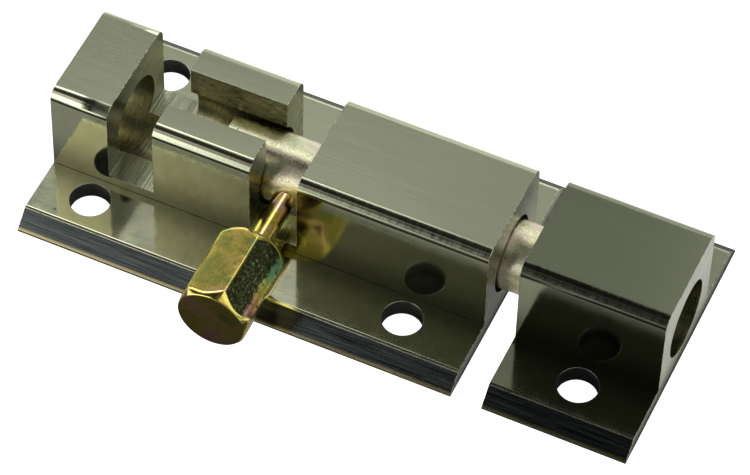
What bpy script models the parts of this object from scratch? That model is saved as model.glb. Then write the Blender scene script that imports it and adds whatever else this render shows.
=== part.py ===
"""Toggle bolt latch: a slotted barrel section, a keeper section, a round bolt and its hexagonal knob pin.

Units are metres. X runs along the bolt towards the keeper, -Y is the side the knob lies on, +Z is up from the
surface the latch is screwed to. The origin is the middle of the barrel section's underside.
"""

from math import asin, atan2, cos, hypot, pi, radians, sin, tan

import bmesh
import bpy
from mathutils import Matrix, Vector

# ---------------------------------------------------------------- driving dimensions
BODY_LENGTH = 0.0500  # whole barrel section
TAIL_LENGTH = 0.0066  # solid block behind the rear gap
REAR_GAP = 0.0052  # gap that takes the pin when the bolt is drawn back
RAIL_LENGTH = 0.01125  # slotted length between the two gaps
FRONT_GAP = 0.0054  # gap that takes the pin when the bolt is shot

KEEPER_SPACE = 0.00345  # between barrel section and keeper
KEEPER_LENGTH = 0.01605

BLOCK_WIDTH = 0.0132  # the raised block, wall to wall
BLOCK_HEIGHT = 0.0136  # top of the block above the underside
BLOCK_RADIUS = 0.0013  # its two long top edges
FLANGE_WIDTH = 0.0085  # each flange, from the block's wall to its outer edge
FLANGE_THICKNESS = 0.00215
BEVEL_WIDTH = 0.0019  # sloping outer edge of a flange
EDGE_LAND = 0.00035  # upright strip below that slope

BORE_DIAMETER = 0.0086
BORE_HEIGHT = 0.00653  # bore axis above the underside
SLOT_WIDTH = 0.0052  # slot that the pin slides along
FLOOR_HEIGHT = 0.0034  # what both gaps leave standing

SCREW_HOLE = 0.0044  # diameter
SCREW_HOLE_WALL = 0.0007  # from the block's wall to a hole's edge
TAIL_HOLE_INSET = 0.0058  # hole centre from the barrel section's tail end
FRONT_HOLE_INSET = 0.0080  # hole centre from its keeper end
KEEPER_HOLE_INSET = 0.0083  # hole centre from the keeper's near end

BOLT_CLEARANCE = 0.0005  # between bolt and bore, all round
BOLT_SHORT = 0.0006  # how much shorter the bolt is than the barrel section
BOLT_CHAMFER = 0.0004

PIN_DIAMETER = 0.00245
PIN_SEAT = 0.0003  # between the pin's end and the bolt
HEAD_ACROSS_FLATS = 0.00766
HEAD_LENGTH = 0.0099
HEAD_FACE = 0.00735  # diameter of the round flat that the turning leaves on each end
HEAD_CHAMFER = radians(58)  # slope of the turned ends
HEAD_TURN = radians(15.3)  # one corner above the X direction
HEAD_CLEARANCE = 0.0024  # between the head and the block's corners as the knob swings over
REST_CLEARANCE = 0.0003  # between the head and the flange it lies on

BORE_SEGMENTS = 96
HOLE_SEGMENTS = 40
TURN_SEGMENTS = 64
EDGE_SEGMENTS = 8
OVERCUT = 0.001  # how far cutters run past what they cut
STOCK_ALLOWANCE = 0.00025  # how much wider than its corners the head is turned before the flats are milled
SAME_POINT = 1e-7  # points closer than this are one point

BOLT_SHARP = radians(30)  # edges that turn more than this stay sharp when shaded
PIN_SHARP = radians(25)

BODY_FINISH = ("anodised_olive", (0.26, 0.27, 0.19), 0.32)  # name, colour, roughness
KEEPER_FINISH = ("anodised_olive_keeper", (0.20, 0.21, 0.15), 0.34)
BOLT_FINISH = ("pale_zinc", (0.62, 0.60, 0.50), 0.38)
PIN_FINISH = ("yellow_chromate", (0.62, 0.45, 0.18), 0.25)

# ---------------------------------------------------------------- derived places
tail_end = -BODY_LENGTH / 2
rear_gap_start = tail_end + TAIL_LENGTH
rail_start = rear_gap_start + REAR_GAP
front_gap_start = rail_start + RAIL_LENGTH
barrel_start = front_gap_start + FRONT_GAP
body_end = BODY_LENGTH / 2
keeper_start = body_end + KEEPER_SPACE
keeper_end = keeper_start + KEEPER_LENGTH

block_half = BLOCK_WIDTH / 2
base_half = block_half + FLANGE_WIDTH
hole_offset = block_half + SCREW_HOLE_WALL + SCREW_HOLE / 2

# drawn back, the bolt's nose is flush with the barrel section; the pin then stands in the rear gap
pin_place = front_gap_start + FRONT_GAP / 2
throw = pin_place - (rear_gap_start + REAR_GAP / 2)
bolt_radius = BORE_DIAMETER / 2 - BOLT_CLEARANCE
bolt_length = BODY_LENGTH - BOLT_SHORT
bolt_nose = body_end + throw
bolt_tail = bolt_nose - bolt_length

# the head clears the block's rounded corners, and lies on the flange by one of its own corners
corner_reach = hypot(block_half - BLOCK_RADIUS, BLOCK_HEIGHT - BLOCK_RADIUS - BORE_HEIGHT) + BLOCK_RADIUS
head_start = corner_reach + HEAD_CLEARANCE
head_end = head_start + HEAD_LENGTH
corner_radius = HEAD_ACROSS_FLATS / 2 / cos(pi / 6)
corner_chamfer = (corner_radius - HEAD_FACE / 2) * tan(HEAD_CHAMFER)
head_drop = corner_radius * max(sin(HEAD_TURN + k * pi / 3) for k in range(6))
touch_along = head_start + corner_chamfer
touch_height = FLANGE_THICKNESS + REST_CLEARANCE - BORE_HEIGHT
rest_angle = asin(touch_height / hypot(touch_along, head_drop)) + atan2(head_drop, touch_along)


# ---------------------------------------------------------------- helpers
def clear_scene():
    for old in list(bpy.data.objects):
        bpy.data.objects.remove(old, do_unlink=True)


def material(name, colour, roughness, metallic=1.0):
    """A Principled material of one colour."""
    made = bpy.data.materials.new(name)
    made.use_nodes = True
    shader = made.node_tree.nodes["Principled BSDF"]
    shader.inputs["Base Color"].default_value = (*colour, 1)
    shader.inputs["Roughness"].default_value = roughness
    shader.inputs["Metallic"].default_value = metallic
    made.diffuse_color = (*colour, 1)
    return made


def add_object(name, bm, location=(0, 0, 0)):
    bmesh.ops.recalc_face_normals(bm, faces=bm.faces)
    mesh = bpy.data.meshes.new(name)
    bm.to_mesh(mesh)
    bm.free()
    made = bpy.data.objects.new(name, mesh)
    made.location = location
    bpy.context.scene.collection.objects.link(made)
    return made


def extruded(outline, start, end):
    """A closed (y, z) outline, run along X from start to end."""
    bm = bmesh.new()
    face = bm.faces.new([bm.verts.new((start, y, z)) for y, z in outline])
    swept = bmesh.ops.extrude_face_region(bm, geom=[face])["geom"]
    moved = [v for v in swept if isinstance(v, bmesh.types.BMVert)]
    bmesh.ops.translate(bm, verts=moved, vec=(end - start, 0, 0))
    return bm


def box(low, high):
    bm = bmesh.new()
    bmesh.ops.create_cube(bm, size=1)
    size, middle = Vector(high) - Vector(low), (Vector(high) + Vector(low)) / 2
    bmesh.ops.transform(bm, matrix=Matrix.Translation(middle) @ Matrix.Diagonal((*size, 1)), verts=bm.verts)
    return bm


def cylinder(radius, start, end, segments):
    """A round bar from one point to another."""
    start, end = Vector(start), Vector(end)
    along = end - start
    bm = bmesh.new()
    bmesh.ops.create_cone(bm, cap_ends=True, segments=segments, radius1=radius, radius2=radius, depth=along.length)
    turn = along.to_track_quat("Z", "Y").to_matrix().to_4x4()
    bmesh.ops.transform(bm, matrix=Matrix.Translation((start + end) / 2) @ turn, verts=bm.verts)
    return bm


def turned(profile, axis, segments):
    """(distance along, radius) pairs spun about an axis through the origin; both ends lie on the axis."""
    axis = Vector(axis)
    side = axis.orthogonal().normalized()
    bm = bmesh.new()
    row = [bm.verts.new(axis * a + side * r) for a, r in profile]
    edges = [bm.edges.new(pair) for pair in zip(row, row[1:])]
    bmesh.ops.spin(bm, geom=row + edges, cent=(0, 0, 0), axis=axis, angle=2 * pi, steps=segments)
    bmesh.ops.remove_doubles(bm, verts=bm.verts, dist=SAME_POINT)
    return bm


def carve(target, cutter, operation="DIFFERENCE"):
    """A live Boolean; the cutter stays as a wire guide on the target."""
    cutter.hide_render = True
    cutter.display_type = "WIRE"
    cut = target.modifiers.new(cutter.name, "BOOLEAN")
    cut.operation = operation
    cut.solver = "EXACT"
    cut.object = cutter


def shade(made, sharp):
    made.data.shade_smooth()
    made.data.set_sharp_from_angle(angle=sharp)


# ---------------------------------------------------------------- sections
def section_outline():
    """The extruded section that the barrel and the keeper are both sawn from, counter-clockwise from +Y."""
    centre_y, centre_z = block_half - BLOCK_RADIUS, BLOCK_HEIGHT - BLOCK_RADIUS
    arc = [
        (centre_y + BLOCK_RADIUS * cos(a), centre_z + BLOCK_RADIUS * sin(a))
        for a in (pi / 2 * k / EDGE_SEGMENTS for k in range(EDGE_SEGMENTS + 1))
    ]
    half = [
        (base_half, 0),
        (base_half, EDGE_LAND),
        (base_half - BEVEL_WIDTH, FLANGE_THICKNESS),
        (block_half, FLANGE_THICKNESS),
        *arc,
    ]
    return half + [(-y, z) for y, z in reversed(half)]


def bore_cutter(name, start, end):
    return add_object(
        name,
        cylinder(BORE_DIAMETER / 2, (start, 0, BORE_HEIGHT), (end, 0, BORE_HEIGHT), BORE_SEGMENTS),
    )


def drill_flanges(target, place):
    """One screw hole in each flange, at the same distance along."""
    for side, label in ((-1, "front"), (1, "back")):
        y = side * hole_offset
        hole = cylinder(SCREW_HOLE / 2, (place, y, -OVERCUT), (place, y, FLANGE_THICKNESS + OVERCUT), HOLE_SEGMENTS)
        carve(target, add_object(f"cut_{target.name}_screw_{label}_{len(target.modifiers)}", hole))


def build_latch_body(finish):
    body = add_object("latch_body", extruded(section_outline(), tail_end, body_end))
    body.data.materials.append(finish)
    carve(body, bore_cutter("cut_body_bore", tail_end - OVERCUT, body_end + OVERCUT))
    across, above = block_half + OVERCUT, BLOCK_HEIGHT + OVERCUT
    for name, start, width in (("rear", rear_gap_start, REAR_GAP), ("front", front_gap_start, FRONT_GAP)):
        gap = box((start, -across, FLOOR_HEIGHT), (start + width, across, above))
        carve(body, add_object(f"cut_{name}_gap", gap))
    middle_rear, middle_front = rail_start - REAR_GAP / 2, front_gap_start + FRONT_GAP / 2
    slot = box((middle_rear, -SLOT_WIDTH / 2, BORE_HEIGHT), (middle_front, SLOT_WIDTH / 2, above))
    carve(body, add_object("cut_slot", slot))
    for place in (tail_end + TAIL_HOLE_INSET, body_end - FRONT_HOLE_INSET):
        drill_flanges(body, place)
    return body


def build_keeper(finish):
    keeper = add_object("keeper", extruded(section_outline(), keeper_start, keeper_end))
    keeper.data.materials.append(finish)
    carve(keeper, bore_cutter("cut_keeper_bore", keeper_start - OVERCUT, keeper_end + OVERCUT))
    drill_flanges(keeper, keeper_start + KEEPER_HOLE_INSET)
    return keeper


# ---------------------------------------------------------------- moving pieces
def build_bolt_rod(finish):
    """A plain round bar with chamfered ends; its origin is on its own axis, under the knob pin."""
    tail, nose = bolt_tail - pin_place, bolt_nose - pin_place
    profile = [
        (tail, 0),
        (tail, bolt_radius - BOLT_CHAMFER),
        (tail + BOLT_CHAMFER, bolt_radius),
        (nose - BOLT_CHAMFER, bolt_radius),
        (nose, bolt_radius - BOLT_CHAMFER),
        (nose, 0),
    ]
    rod = add_object("bolt_rod", turned(profile, (1, 0, 0), TURN_SEGMENTS), (pin_place, 0, BORE_HEIGHT))
    rod.data.materials.append(finish)
    shade(rod, BOLT_SHARP)
    return rod


def build_knob_pin(finish, rod):
    """Shank and hexagonal head in one, turned along local -Y, then milled to six flats and seated on the bolt."""
    envelope = corner_radius + STOCK_ALLOWANCE
    slope = (envelope - HEAD_FACE / 2) * tan(HEAD_CHAMFER)
    profile = [
        (0, 0),
        (0, PIN_DIAMETER / 2),
        (head_start, PIN_DIAMETER / 2),
        (head_start, HEAD_FACE / 2),
        (head_start + slope, envelope),
        (head_end - slope, envelope),
        (head_end, HEAD_FACE / 2),
        (head_end, 0),
    ]
    pin = add_object("knob_pin", turned(profile, (0, -1, 0), TURN_SEGMENTS))
    pin.data.materials.append(finish)
    shade(pin, PIN_SHARP)

    flats = bmesh.new()
    corners = [
        (corner_radius * cos(HEAD_TURN + k * pi / 3), OVERCUT, corner_radius * sin(HEAD_TURN + k * pi / 3))
        for k in range(6)
    ]
    face = flats.faces.new([flats.verts.new(c) for c in corners])
    swept = bmesh.ops.extrude_face_region(flats, geom=[face])["geom"]
    moved = [v for v in swept if isinstance(v, bmesh.types.BMVert)]
    bmesh.ops.translate(flats, verts=moved, vec=(0, -(head_end + 2 * OVERCUT), 0))
    six = add_object("cut_pin_flats", flats)
    seat = add_object(
        "cut_pin_seat",
        cylinder(bolt_radius + PIN_SEAT, (-PIN_DIAMETER - OVERCUT, 0, 0), (PIN_DIAMETER + OVERCUT, 0, 0), BORE_SEGMENTS),
    )
    carve(pin, six, "INTERSECT")
    carve(pin, seat)
    for piece in (pin, six, seat):
        piece.parent = rod
    for piece in (pin, six):
        piece.rotation_euler = (-rest_angle, 0, 0)
    return pin


def main():
    clear_scene()
    build_latch_body(material(*BODY_FINISH))
    build_keeper(material(*KEEPER_FINISH))
    rod = build_bolt_rod(material(*BOLT_FINISH))
    build_knob_pin(material(*PIN_FINISH), rod)


main()
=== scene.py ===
from math import atan2, cos, pi, radians, sin, tan

import bpy
import numpy as np
from mathutils import Euler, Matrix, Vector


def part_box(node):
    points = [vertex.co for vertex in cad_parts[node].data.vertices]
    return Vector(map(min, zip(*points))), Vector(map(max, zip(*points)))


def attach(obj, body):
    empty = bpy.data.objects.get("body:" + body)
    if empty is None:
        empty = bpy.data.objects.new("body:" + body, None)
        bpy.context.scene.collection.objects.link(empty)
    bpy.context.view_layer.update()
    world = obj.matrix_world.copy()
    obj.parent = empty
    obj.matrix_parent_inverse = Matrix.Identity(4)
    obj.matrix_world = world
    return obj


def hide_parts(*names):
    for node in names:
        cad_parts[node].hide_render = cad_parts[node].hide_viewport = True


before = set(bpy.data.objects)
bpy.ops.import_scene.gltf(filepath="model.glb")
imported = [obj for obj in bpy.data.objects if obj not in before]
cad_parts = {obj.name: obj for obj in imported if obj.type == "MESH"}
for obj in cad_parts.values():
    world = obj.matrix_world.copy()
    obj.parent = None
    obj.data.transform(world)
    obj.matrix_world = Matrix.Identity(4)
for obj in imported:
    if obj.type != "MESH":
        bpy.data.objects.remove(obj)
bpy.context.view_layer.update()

bl_info = {
    "name": "Toggle Bolt Latch",
    "version": (1, 0, 0),
    "blender": (4, 5, 0),
    "location": "3D View > Sidebar > Latch",
    "description": "Builds the visible pieces of a toggle bolt latch and the stage it stands on",
    "category": "Object",
}

MM = 0.001
BODY_LOW, BODY_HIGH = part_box("latch_body")
KEEPER_LOW, KEEPER_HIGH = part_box("keeper")
BOLT_LOW, BOLT_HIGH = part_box("bolt_rod")
PIN_LOW, PIN_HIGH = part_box("knob_pin")
BOLT_RADIUS = (BOLT_HIGH.y - BOLT_LOW.y) / 2
BOLT_AXIS_Z = (BOLT_HIGH.z + BOLT_LOW.z) / 2
PIN_X = (PIN_LOW.x + PIN_HIGH.x) / 2
TINY = 1e-9

OVERCUT = MM  # how far cutters run past what they cut
BORE_SEGMENTS = 128
HOLE_SEGMENTS = 64
BOLT_COLUMNS = 160
BOLT_STATIONS = 60  # lengths that the bolt's straight part is divided into
KNOB_COLUMNS = 384
KNOB_STEP = 0.11 * MM  # longest step along the knob pin's outline
STOCK_ALLOWANCE = 0.25 * MM  # how much wider than its corners the head is turned
CORNER_WEAR = 0.09 * MM  # how much the head's long corners are worn down
CORNER_REACH = 0.5 * MM  # how far from a corner the wear blends out
TURNED_REACH = 0.24 * MM  # how far turned and flat faces blend
ROOT_SINK = 0.03 * MM  # how far the shank's root goes into the bolt
HEAD_NEAR_END = -11.7 * MM  # Y, at rest, behind which there is only shank

FLOOR_DROP = 0.02 * MM  # the floor's depth below the underside
CARD_DROP = 0.01 * MM
CARD_RINGS = 20
CARD_INNER, CARD_OUTER = 0.002, 0.6
CAMERA_PLACE = (0.116585, -0.2518, 0.35304)
CAMERA_TURN = (37.806, -1.242, 24.627)  # degrees
CAMERA_LENS, CAMERA_SENSOR = 203.03, 36


# ------------------------------------------------------------------ mesh helpers
def new_piece(name, points, faces, smooth=True):
    """A mesh object from an (n, 3) array of points and a list of vertex rings."""
    mesh = bpy.data.meshes.new(name)
    mesh.from_pydata(np.asarray(points, float).reshape(-1, 3), [], faces)
    mesh.update()
    mesh.polygons.foreach_set("use_smooth", np.full(len(mesh.polygons), smooth))
    piece = bpy.data.objects.new(name, mesh)
    bpy.context.scene.collection.objects.link(piece)
    return piece


def grid_faces(rows, columns, first=0):
    """Quads of a grid that closes on itself along its columns, as an (n, 4) array of point numbers."""
    row, column = np.meshgrid(np.arange(rows - 1), np.arange(columns), indexing="ij")
    here, there = row * columns + column, row * columns + (column + 1) % columns
    quads = np.stack([here, there, there + columns, here + columns], axis=-1)
    return quads.reshape(-1, 4) + first


def rounded_outline(corners, radii, segments):
    """A closed outline with each corner replaced by an arc.

    The arc of a corner touches both its edges at radius * tan(half the turn) from the corner, and its points are
    spread evenly in angle about a centre on the corner's bisector.
    """
    corners = np.asarray(corners, float)
    parts = []
    for k, (radius, count) in enumerate(zip(radii, segments)):
        here, before, after = corners[k], corners[k - 1], corners[(k + 1) % len(corners)]
        if radius < TINY:
            parts.append(here[None])
            continue
        inward, outward = before - here, after - here
        inward, outward = inward / np.linalg.norm(inward), outward / np.linalg.norm(outward)
        half_open = np.arccos(np.clip(inward @ outward, -1, 1)) / 2
        bisector = inward + outward
        centre = here + bisector / np.linalg.norm(bisector) * radius / sin(half_open)
        start, end = here + inward * radius / tan(half_open) - centre, here + outward * radius / tan(half_open) - centre
        first = atan2(start[1], start[0])
        turn = (atan2(end[1], end[0]) - first + pi) % (2 * pi) - pi
        angles = first + turn * np.linspace(0, 1, count + 1)
        parts.append(centre + radius * np.stack([np.cos(angles), np.sin(angles)], axis=-1))
    return np.concatenate(parts)


def extrusion(name, outline, start, end):
    """A (y, z) outline carried along X, closed by a flat face at each end."""
    count = len(outline)
    ends = [np.column_stack([np.full(count, x), outline]) for x in (start, end)]
    number = np.arange(count)
    sides = np.stack([number, (number + 1) % count, (number + 1) % count + count, number + count], axis=-1)
    faces = sides.tolist() + [number[::-1].tolist(), (number + count).tolist()]
    return new_piece(name, np.concatenate(ends), faces, smooth=False)


def round_bar(name, start, end, radius, segments):
    """A cylinder from one point to another: radius * (cos, sin) of the angle in the two directions square to it."""
    start, end = np.asarray(start, float), np.asarray(end, float)
    along = (end - start) / np.linalg.norm(end - start)
    across = np.cross(along, (0, 1, 0) if abs(along[1]) < 0.9 else (1, 0, 0))
    across /= np.linalg.norm(across)
    up = np.cross(along, across)
    angle = 2 * pi * np.arange(segments) / segments
    ring = radius * (np.cos(angle)[:, None] * across + np.sin(angle)[:, None] * up)
    number = np.arange(segments)
    faces = grid_faces(2, segments).tolist() + [number[::-1].tolist(), (number + segments).tolist()]
    return new_piece(name, np.concatenate([start + ring, end + ring]), faces, smooth=False)


def block(name, low, high):
    """A box between two corners, used to cut with."""
    low, high = np.asarray(low, float), np.asarray(high, float)
    outline = np.array([(low[1], low[2]), (high[1], low[2]), (high[1], high[2]), (low[1], high[2])])
    return extrusion(name, outline, low[0], high[0])


def keep_finished_mesh(piece):
    """Puts what the piece's modifiers make in place of its mesh, and removes the modifiers."""
    graph = bpy.context.evaluated_depsgraph_get()
    finished = bpy.data.meshes.new_from_object(piece.evaluated_get(graph))
    piece.modifiers.clear()
    old, piece.data = piece.data, finished
    finished.name = piece.name
    bpy.data.meshes.remove(old)


def cut_and_ease(piece, cutters, ease):
    """Takes the cutters out of the piece, eases what edges are left sharp, and keeps only the finished mesh."""
    for cutter in cutters:
        cut = piece.modifiers.new(cutter.name, "BOOLEAN")
        cut.operation, cut.solver, cut.object = "DIFFERENCE", "EXACT", cutter
    bevel = piece.modifiers.new("eased edges", "BEVEL")
    bevel.width, bevel.segments, bevel.limit_method = ease, 2, "ANGLE"
    bevel.angle_limit, bevel.use_clamp_overlap = radians(35), True
    bevel.miter_outer = "MITER_ARC"
    keep_finished_mesh(piece)
    for cutter in cutters:
        spent = cutter.data
        bpy.data.objects.remove(cutter)
        bpy.data.meshes.remove(spent)


def face_arrays(mesh):
    """Centres and normals of a mesh's faces, as (n, 3) arrays."""
    centre, normal = np.zeros(len(mesh.polygons) * 3), np.zeros(len(mesh.polygons) * 3)
    mesh.polygons.foreach_get("center", centre)
    mesh.polygons.foreach_get("normal", normal)
    return centre.reshape(-1, 3), normal.reshape(-1, 3)


def smooth_flats(piece):
    """Shades smoothly, with every flat face's own normal kept flat right up to its eased edges."""
    mesh = piece.data
    mesh.polygons.foreach_set("use_smooth", np.ones(len(mesh.polygons), bool))
    weigh = piece.modifiers.new("flat faces stay flat", "WEIGHTED_NORMAL")
    weigh.mode, weigh.keep_sharp, weigh.weight = "FACE_AREA", True, 50
    keep_finished_mesh(piece)


def brushing_map(mesh, name="brushing"):
    """A UV map whose first direction runs across the brushing: across X on long faces, and along Z on sawn ends."""
    centre, normal = face_arrays(mesh)
    points = np.zeros(len(mesh.vertices) * 3)
    mesh.vertices.foreach_get("co", points)
    points = points.reshape(-1, 3)
    loops = np.zeros(len(mesh.loops), np.int64)
    mesh.loops.foreach_get("vertex_index", loops)
    totals = np.zeros(len(mesh.polygons), np.int64)
    mesh.polygons.foreach_get("loop_total", totals)
    facing = np.repeat(np.abs(normal), totals, axis=0)
    at = points[loops]
    ends = facing[:, 0] > 0.7
    upright = facing[:, 1] > facing[:, 2]
    across = np.where(ends, at[:, 2], np.where(upright, at[:, 2], at[:, 1]))
    along = np.where(ends, at[:, 1], at[:, 0])
    layer = mesh.uv_layers.new(name=name)
    layer.data.foreach_set("uv", (np.stack([across, along], axis=-1) * 20).astype(np.float32).ravel())


# ------------------------------------------------------------------ material helpers
def connect(tree, value, socket):
    """Links a socket to another socket, or sets it to a constant."""
    if isinstance(value, bpy.types.NodeSocket):
        tree.links.new(value, socket)
    else:
        socket.default_value = value


def add_node(tree, kind, inputs=None, **settings):
    node = tree.nodes.new(kind)
    for key, value in settings.items():
        setattr(node, key, value)
    for key, value in (inputs or {}).items():
        connect(tree, value, node.inputs[key])
    return node


class Recipe:
    """A material's node tree, with short ways to add nodes to it."""

    def __init__(self, name, base, roughness, metallic=1.0):
        self.material = bpy.data.materials.new(name)
        self.material.use_nodes = True
        self.tree = self.material.node_tree
        self.shader = self.tree.nodes["Principled BSDF"]
        self.shader.inputs["Base Color"].default_value = (*base, 1)
        self.shader.inputs["Roughness"].default_value = roughness
        self.shader.inputs["Metallic"].default_value = metallic
        self.material.diffuse_color = (*base, 1)
        self.place = self.add("ShaderNodeTexCoord")

    def add(self, kind, inputs=None, **settings):
        return add_node(self.tree, kind, inputs, **settings)

    def math(self, operation, a, b=0.0):
        return self.add("ShaderNodeMath", {0: a, 1: b}, operation=operation).outputs[0]

    def stretched(self, scale, turn=(0, 0, 0)):
        """The piece's own coordinates in millimetres, times a scale for each direction."""
        inputs = {"Vector": self.place.outputs["Object"], "Scale": [s / MM for s in scale], "Rotation": turn}
        return self.add("ShaderNodeMapping", inputs).outputs[0]

    def along(self, axis, source="Object"):
        """One of the piece's own coordinates, or one part of its own normal."""
        return self.add("ShaderNodeSeparateXYZ", {0: self.place.outputs[source]}).outputs[axis]

    def noise(self, vector, detail=2.0, rough=0.5, distortion=0.0):
        inputs = {"Vector": vector, "Scale": 1.0, "Detail": detail, "Roughness": rough, "Distortion": distortion}
        return self.add("ShaderNodeTexNoise", inputs).outputs[0]

    def between(self, value, low, high, to_low=0.0, to_high=1.0):
        inputs = {"Value": value, "From Min": low, "From Max": high, "To Min": to_low, "To Max": to_high}
        return self.add("ShaderNodeMapRange", inputs, interpolation_type="SMOOTHSTEP").outputs[0]

    def mix(self, factor, a, b):
        a, b = [(*c, 1) if isinstance(c, tuple) and len(c) == 3 else c for c in (a, b)]
        return self.add("ShaderNodeMix", {0: factor, 6: a, 7: b}, data_type="RGBA").outputs[2]

    def dimmed(self, colour, factor):
        """A colour times a number."""
        grey = self.add("ShaderNodeCombineXYZ", {0: factor, 1: factor, 2: factor}).outputs[0]
        inputs = {0: 1.0, 6: colour, 7: grey}
        return self.add("ShaderNodeMix", inputs, data_type="RGBA", blend_type="MULTIPLY").outputs[2]

    def ramp(self, value, stops):
        node = self.add("ShaderNodeValToRGB", {"Fac": value})
        elements = node.color_ramp.elements
        while len(elements) < len(stops):
            elements.new(1.0)
        for element, (position, colour) in zip(elements, stops):
            element.position, element.color = position, (*colour, 1)
        return node.outputs[0]

    def specks(self, scale, size, share):
        """Scattered round specks: 1 at a speck, 0 elsewhere. Scale is specks per millimetre, size in cells."""
        cells = self.add("ShaderNodeTexVoronoi", {"Vector": self.stretched((1, 1, 1)), "Scale": scale})
        here = self.add("ShaderNodeSeparateColor", {0: cells.outputs["Color"]})
        chosen = self.math("LESS_THAN", here.outputs[0], share)
        width = self.math("MULTIPLY", here.outputs[1], size)
        near = self.math("LESS_THAN", cells.outputs["Distance"], width)
        return self.math("MULTIPLY", chosen, near)

    def bump(self, height, depth, below=None):
        inputs = {"Height": height, "Strength": 1.0, "Distance": depth}
        if below is not None:
            inputs["Normal"] = below
        return self.add("ShaderNodeBump", inputs).outputs[0]

    def set(self, **sockets):
        for key, value in sockets.items():
            name = {"base": "Base Color", "roughness": "Roughness", "normal": "Normal", "tangent": "Tangent",
                    "anisotropic": "Anisotropic"}[key]
            connect(self.tree, value, self.shader.inputs[name])
        return self.material

    def brushed_across(self, amount):
        tangent = self.add("ShaderNodeTangent", direction_type="UV_MAP", uv_map="brushing").outputs[0]
        self.set(tangent=tangent, anisotropic=amount)


def shade(colour, factor):
    return tuple(c * factor for c in colour)


# ------------------------------------------------------------------ anodised finishes
def anodised_flat(name, colour):
    """Belt-brushed tops: nearly even, with faint lines along X, a soft cloudiness, a few pits, and painted light that
    makes faces below 3 mm lighter.
    """
    r = Recipe(name, colour, 0.16)
    lines = r.noise(r.stretched((0.10, 16, 16)), detail=3, rough=0.6)
    grain = r.noise(r.stretched((2.5, 9, 9)), detail=3, rough=0.7)
    clouds = r.noise(r.stretched((0.12, 0.3, 0.3)), detail=2)
    tone = r.mix(r.between(lines, 0.3, 0.7), shade(colour, 0.97), shade(colour, 1.025))
    tone = r.mix(r.between(grain, 0.35, 0.65, 0, 0.5), tone, shade(colour, 0.95))
    tone = r.mix(r.between(clouds, 0.3, 0.7, 0, 0.5), tone, shade(colour, 0.94))
    tone = r.mix(r.specks(0.42, 0.055, 0.16), tone, shade(colour, 0.12))
    tone = r.mix(r.specks(0.6, 0.045, 0.12), tone, shade(colour, 1.4))
    # Painted light: faces below 3 mm above the underside, such as the back flange, are made up to 1.18 times lighter.
    tone = r.dimmed(tone, r.between(r.along(2), 3 * MM, 5 * MM, 1.18, 1.0))
    normal = r.bump(r.math("ADD", lines, r.math("MULTIPLY", grain, 0.3)), 0.0004 * MM)
    r.brushed_across(0.5)
    return r.set(base=tone, roughness=r.between(lines, 0.25, 0.75, 0.11, 0.14), normal=normal)


def anodised_side(name, colour):
    """Drawn walls and front flange: smoother than the tops, mirror-like, with painted shade that darkens the upright
    walls towards the inside corner.
    """
    r = Recipe(name, colour, 0.11)
    lines = r.noise(r.stretched((0.08, 12, 12)), detail=3, rough=0.6)
    smears = r.noise(r.stretched((0.5, 0.7, 0.35)), detail=3, rough=0.6)
    height = r.along(2)
    # Painted shade: upright walls darken from 8.5 mm down to 2.2 mm above the underside, to 0.36 of their tone.
    foot = r.between(height, 2.2 * MM, 8.5 * MM, 0.36, 1.0)
    upright = r.between(r.math("ABSOLUTE", r.along(1, "Normal")), 0.4, 0.6)
    depth = r.math("ADD", r.math("MULTIPLY", upright, foot), r.math("SUBTRACT", 1.0, upright))
    tone = r.mix(r.between(lines, 0.3, 0.7), shade(colour, 0.96), shade(colour, 1.03))
    tone = r.mix(r.between(smears, 0.35, 0.7, 0, 0.6), tone, (colour[0] * 0.95, colour[1] * 0.91, colour[2] * 0.83))
    tone = r.mix(r.specks(0.5, 0.07, 0.2), tone, shade(colour, 0.35))
    tone = r.dimmed(tone, depth)
    normal = r.bump(lines, 0.0006 * MM, below=r.bump(smears, 0.004 * MM))
    r.brushed_across(0.35)
    return r.set(base=tone, roughness=r.between(smears, 0.3, 0.7, 0.08, 0.12), normal=normal)


def anodised_round(name, colour):
    """The rolled top edges: smooth, with short chatter marks across them, chips, and a painted shade line at their foot
    on the front.
    """
    r = Recipe(name, colour, 0.12)
    lines = r.noise(r.stretched((0.07, 7, 7)), detail=2)
    chatter = r.noise(r.stretched((4.2, 0.6, 0.6)), detail=3, rough=0.7)
    chips = r.noise(r.stretched((1.1, 2.6, 2.6)), detail=4, rough=0.7)
    tone = r.mix(r.between(lines, 0.35, 0.65), shade(colour, 0.95), shade(colour, 1.05))
    tone = r.mix(r.between(chips, 0.66, 0.72, 0, 0.7), tone, shade(colour, 0.4))
    height = r.along(2)
    above, below = r.between(height, 12.36 * MM, 12.44 * MM), r.between(height, 12.56 * MM, 12.68 * MM, 1, 0)
    # Painted shade: a dark line, 0.18 of the tone, along the foot of the front rounding, 12.4 to 12.6 mm up.
    foot = r.math("MULTIPLY", above, below)
    front = r.math("LESS_THAN", r.along(1), 0.0)
    tone = r.mix(r.math("MULTIPLY", r.math("MULTIPLY", foot, front), 0.85), tone, shade(colour, 0.18))
    rough = r.between(chatter, 0.3, 0.7, 0.09, 0.16)
    normal = r.bump(chatter, 0.0010 * MM, below=r.bump(lines, 0.0015 * MM))
    return r.set(base=tone, roughness=rough, normal=normal)


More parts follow.
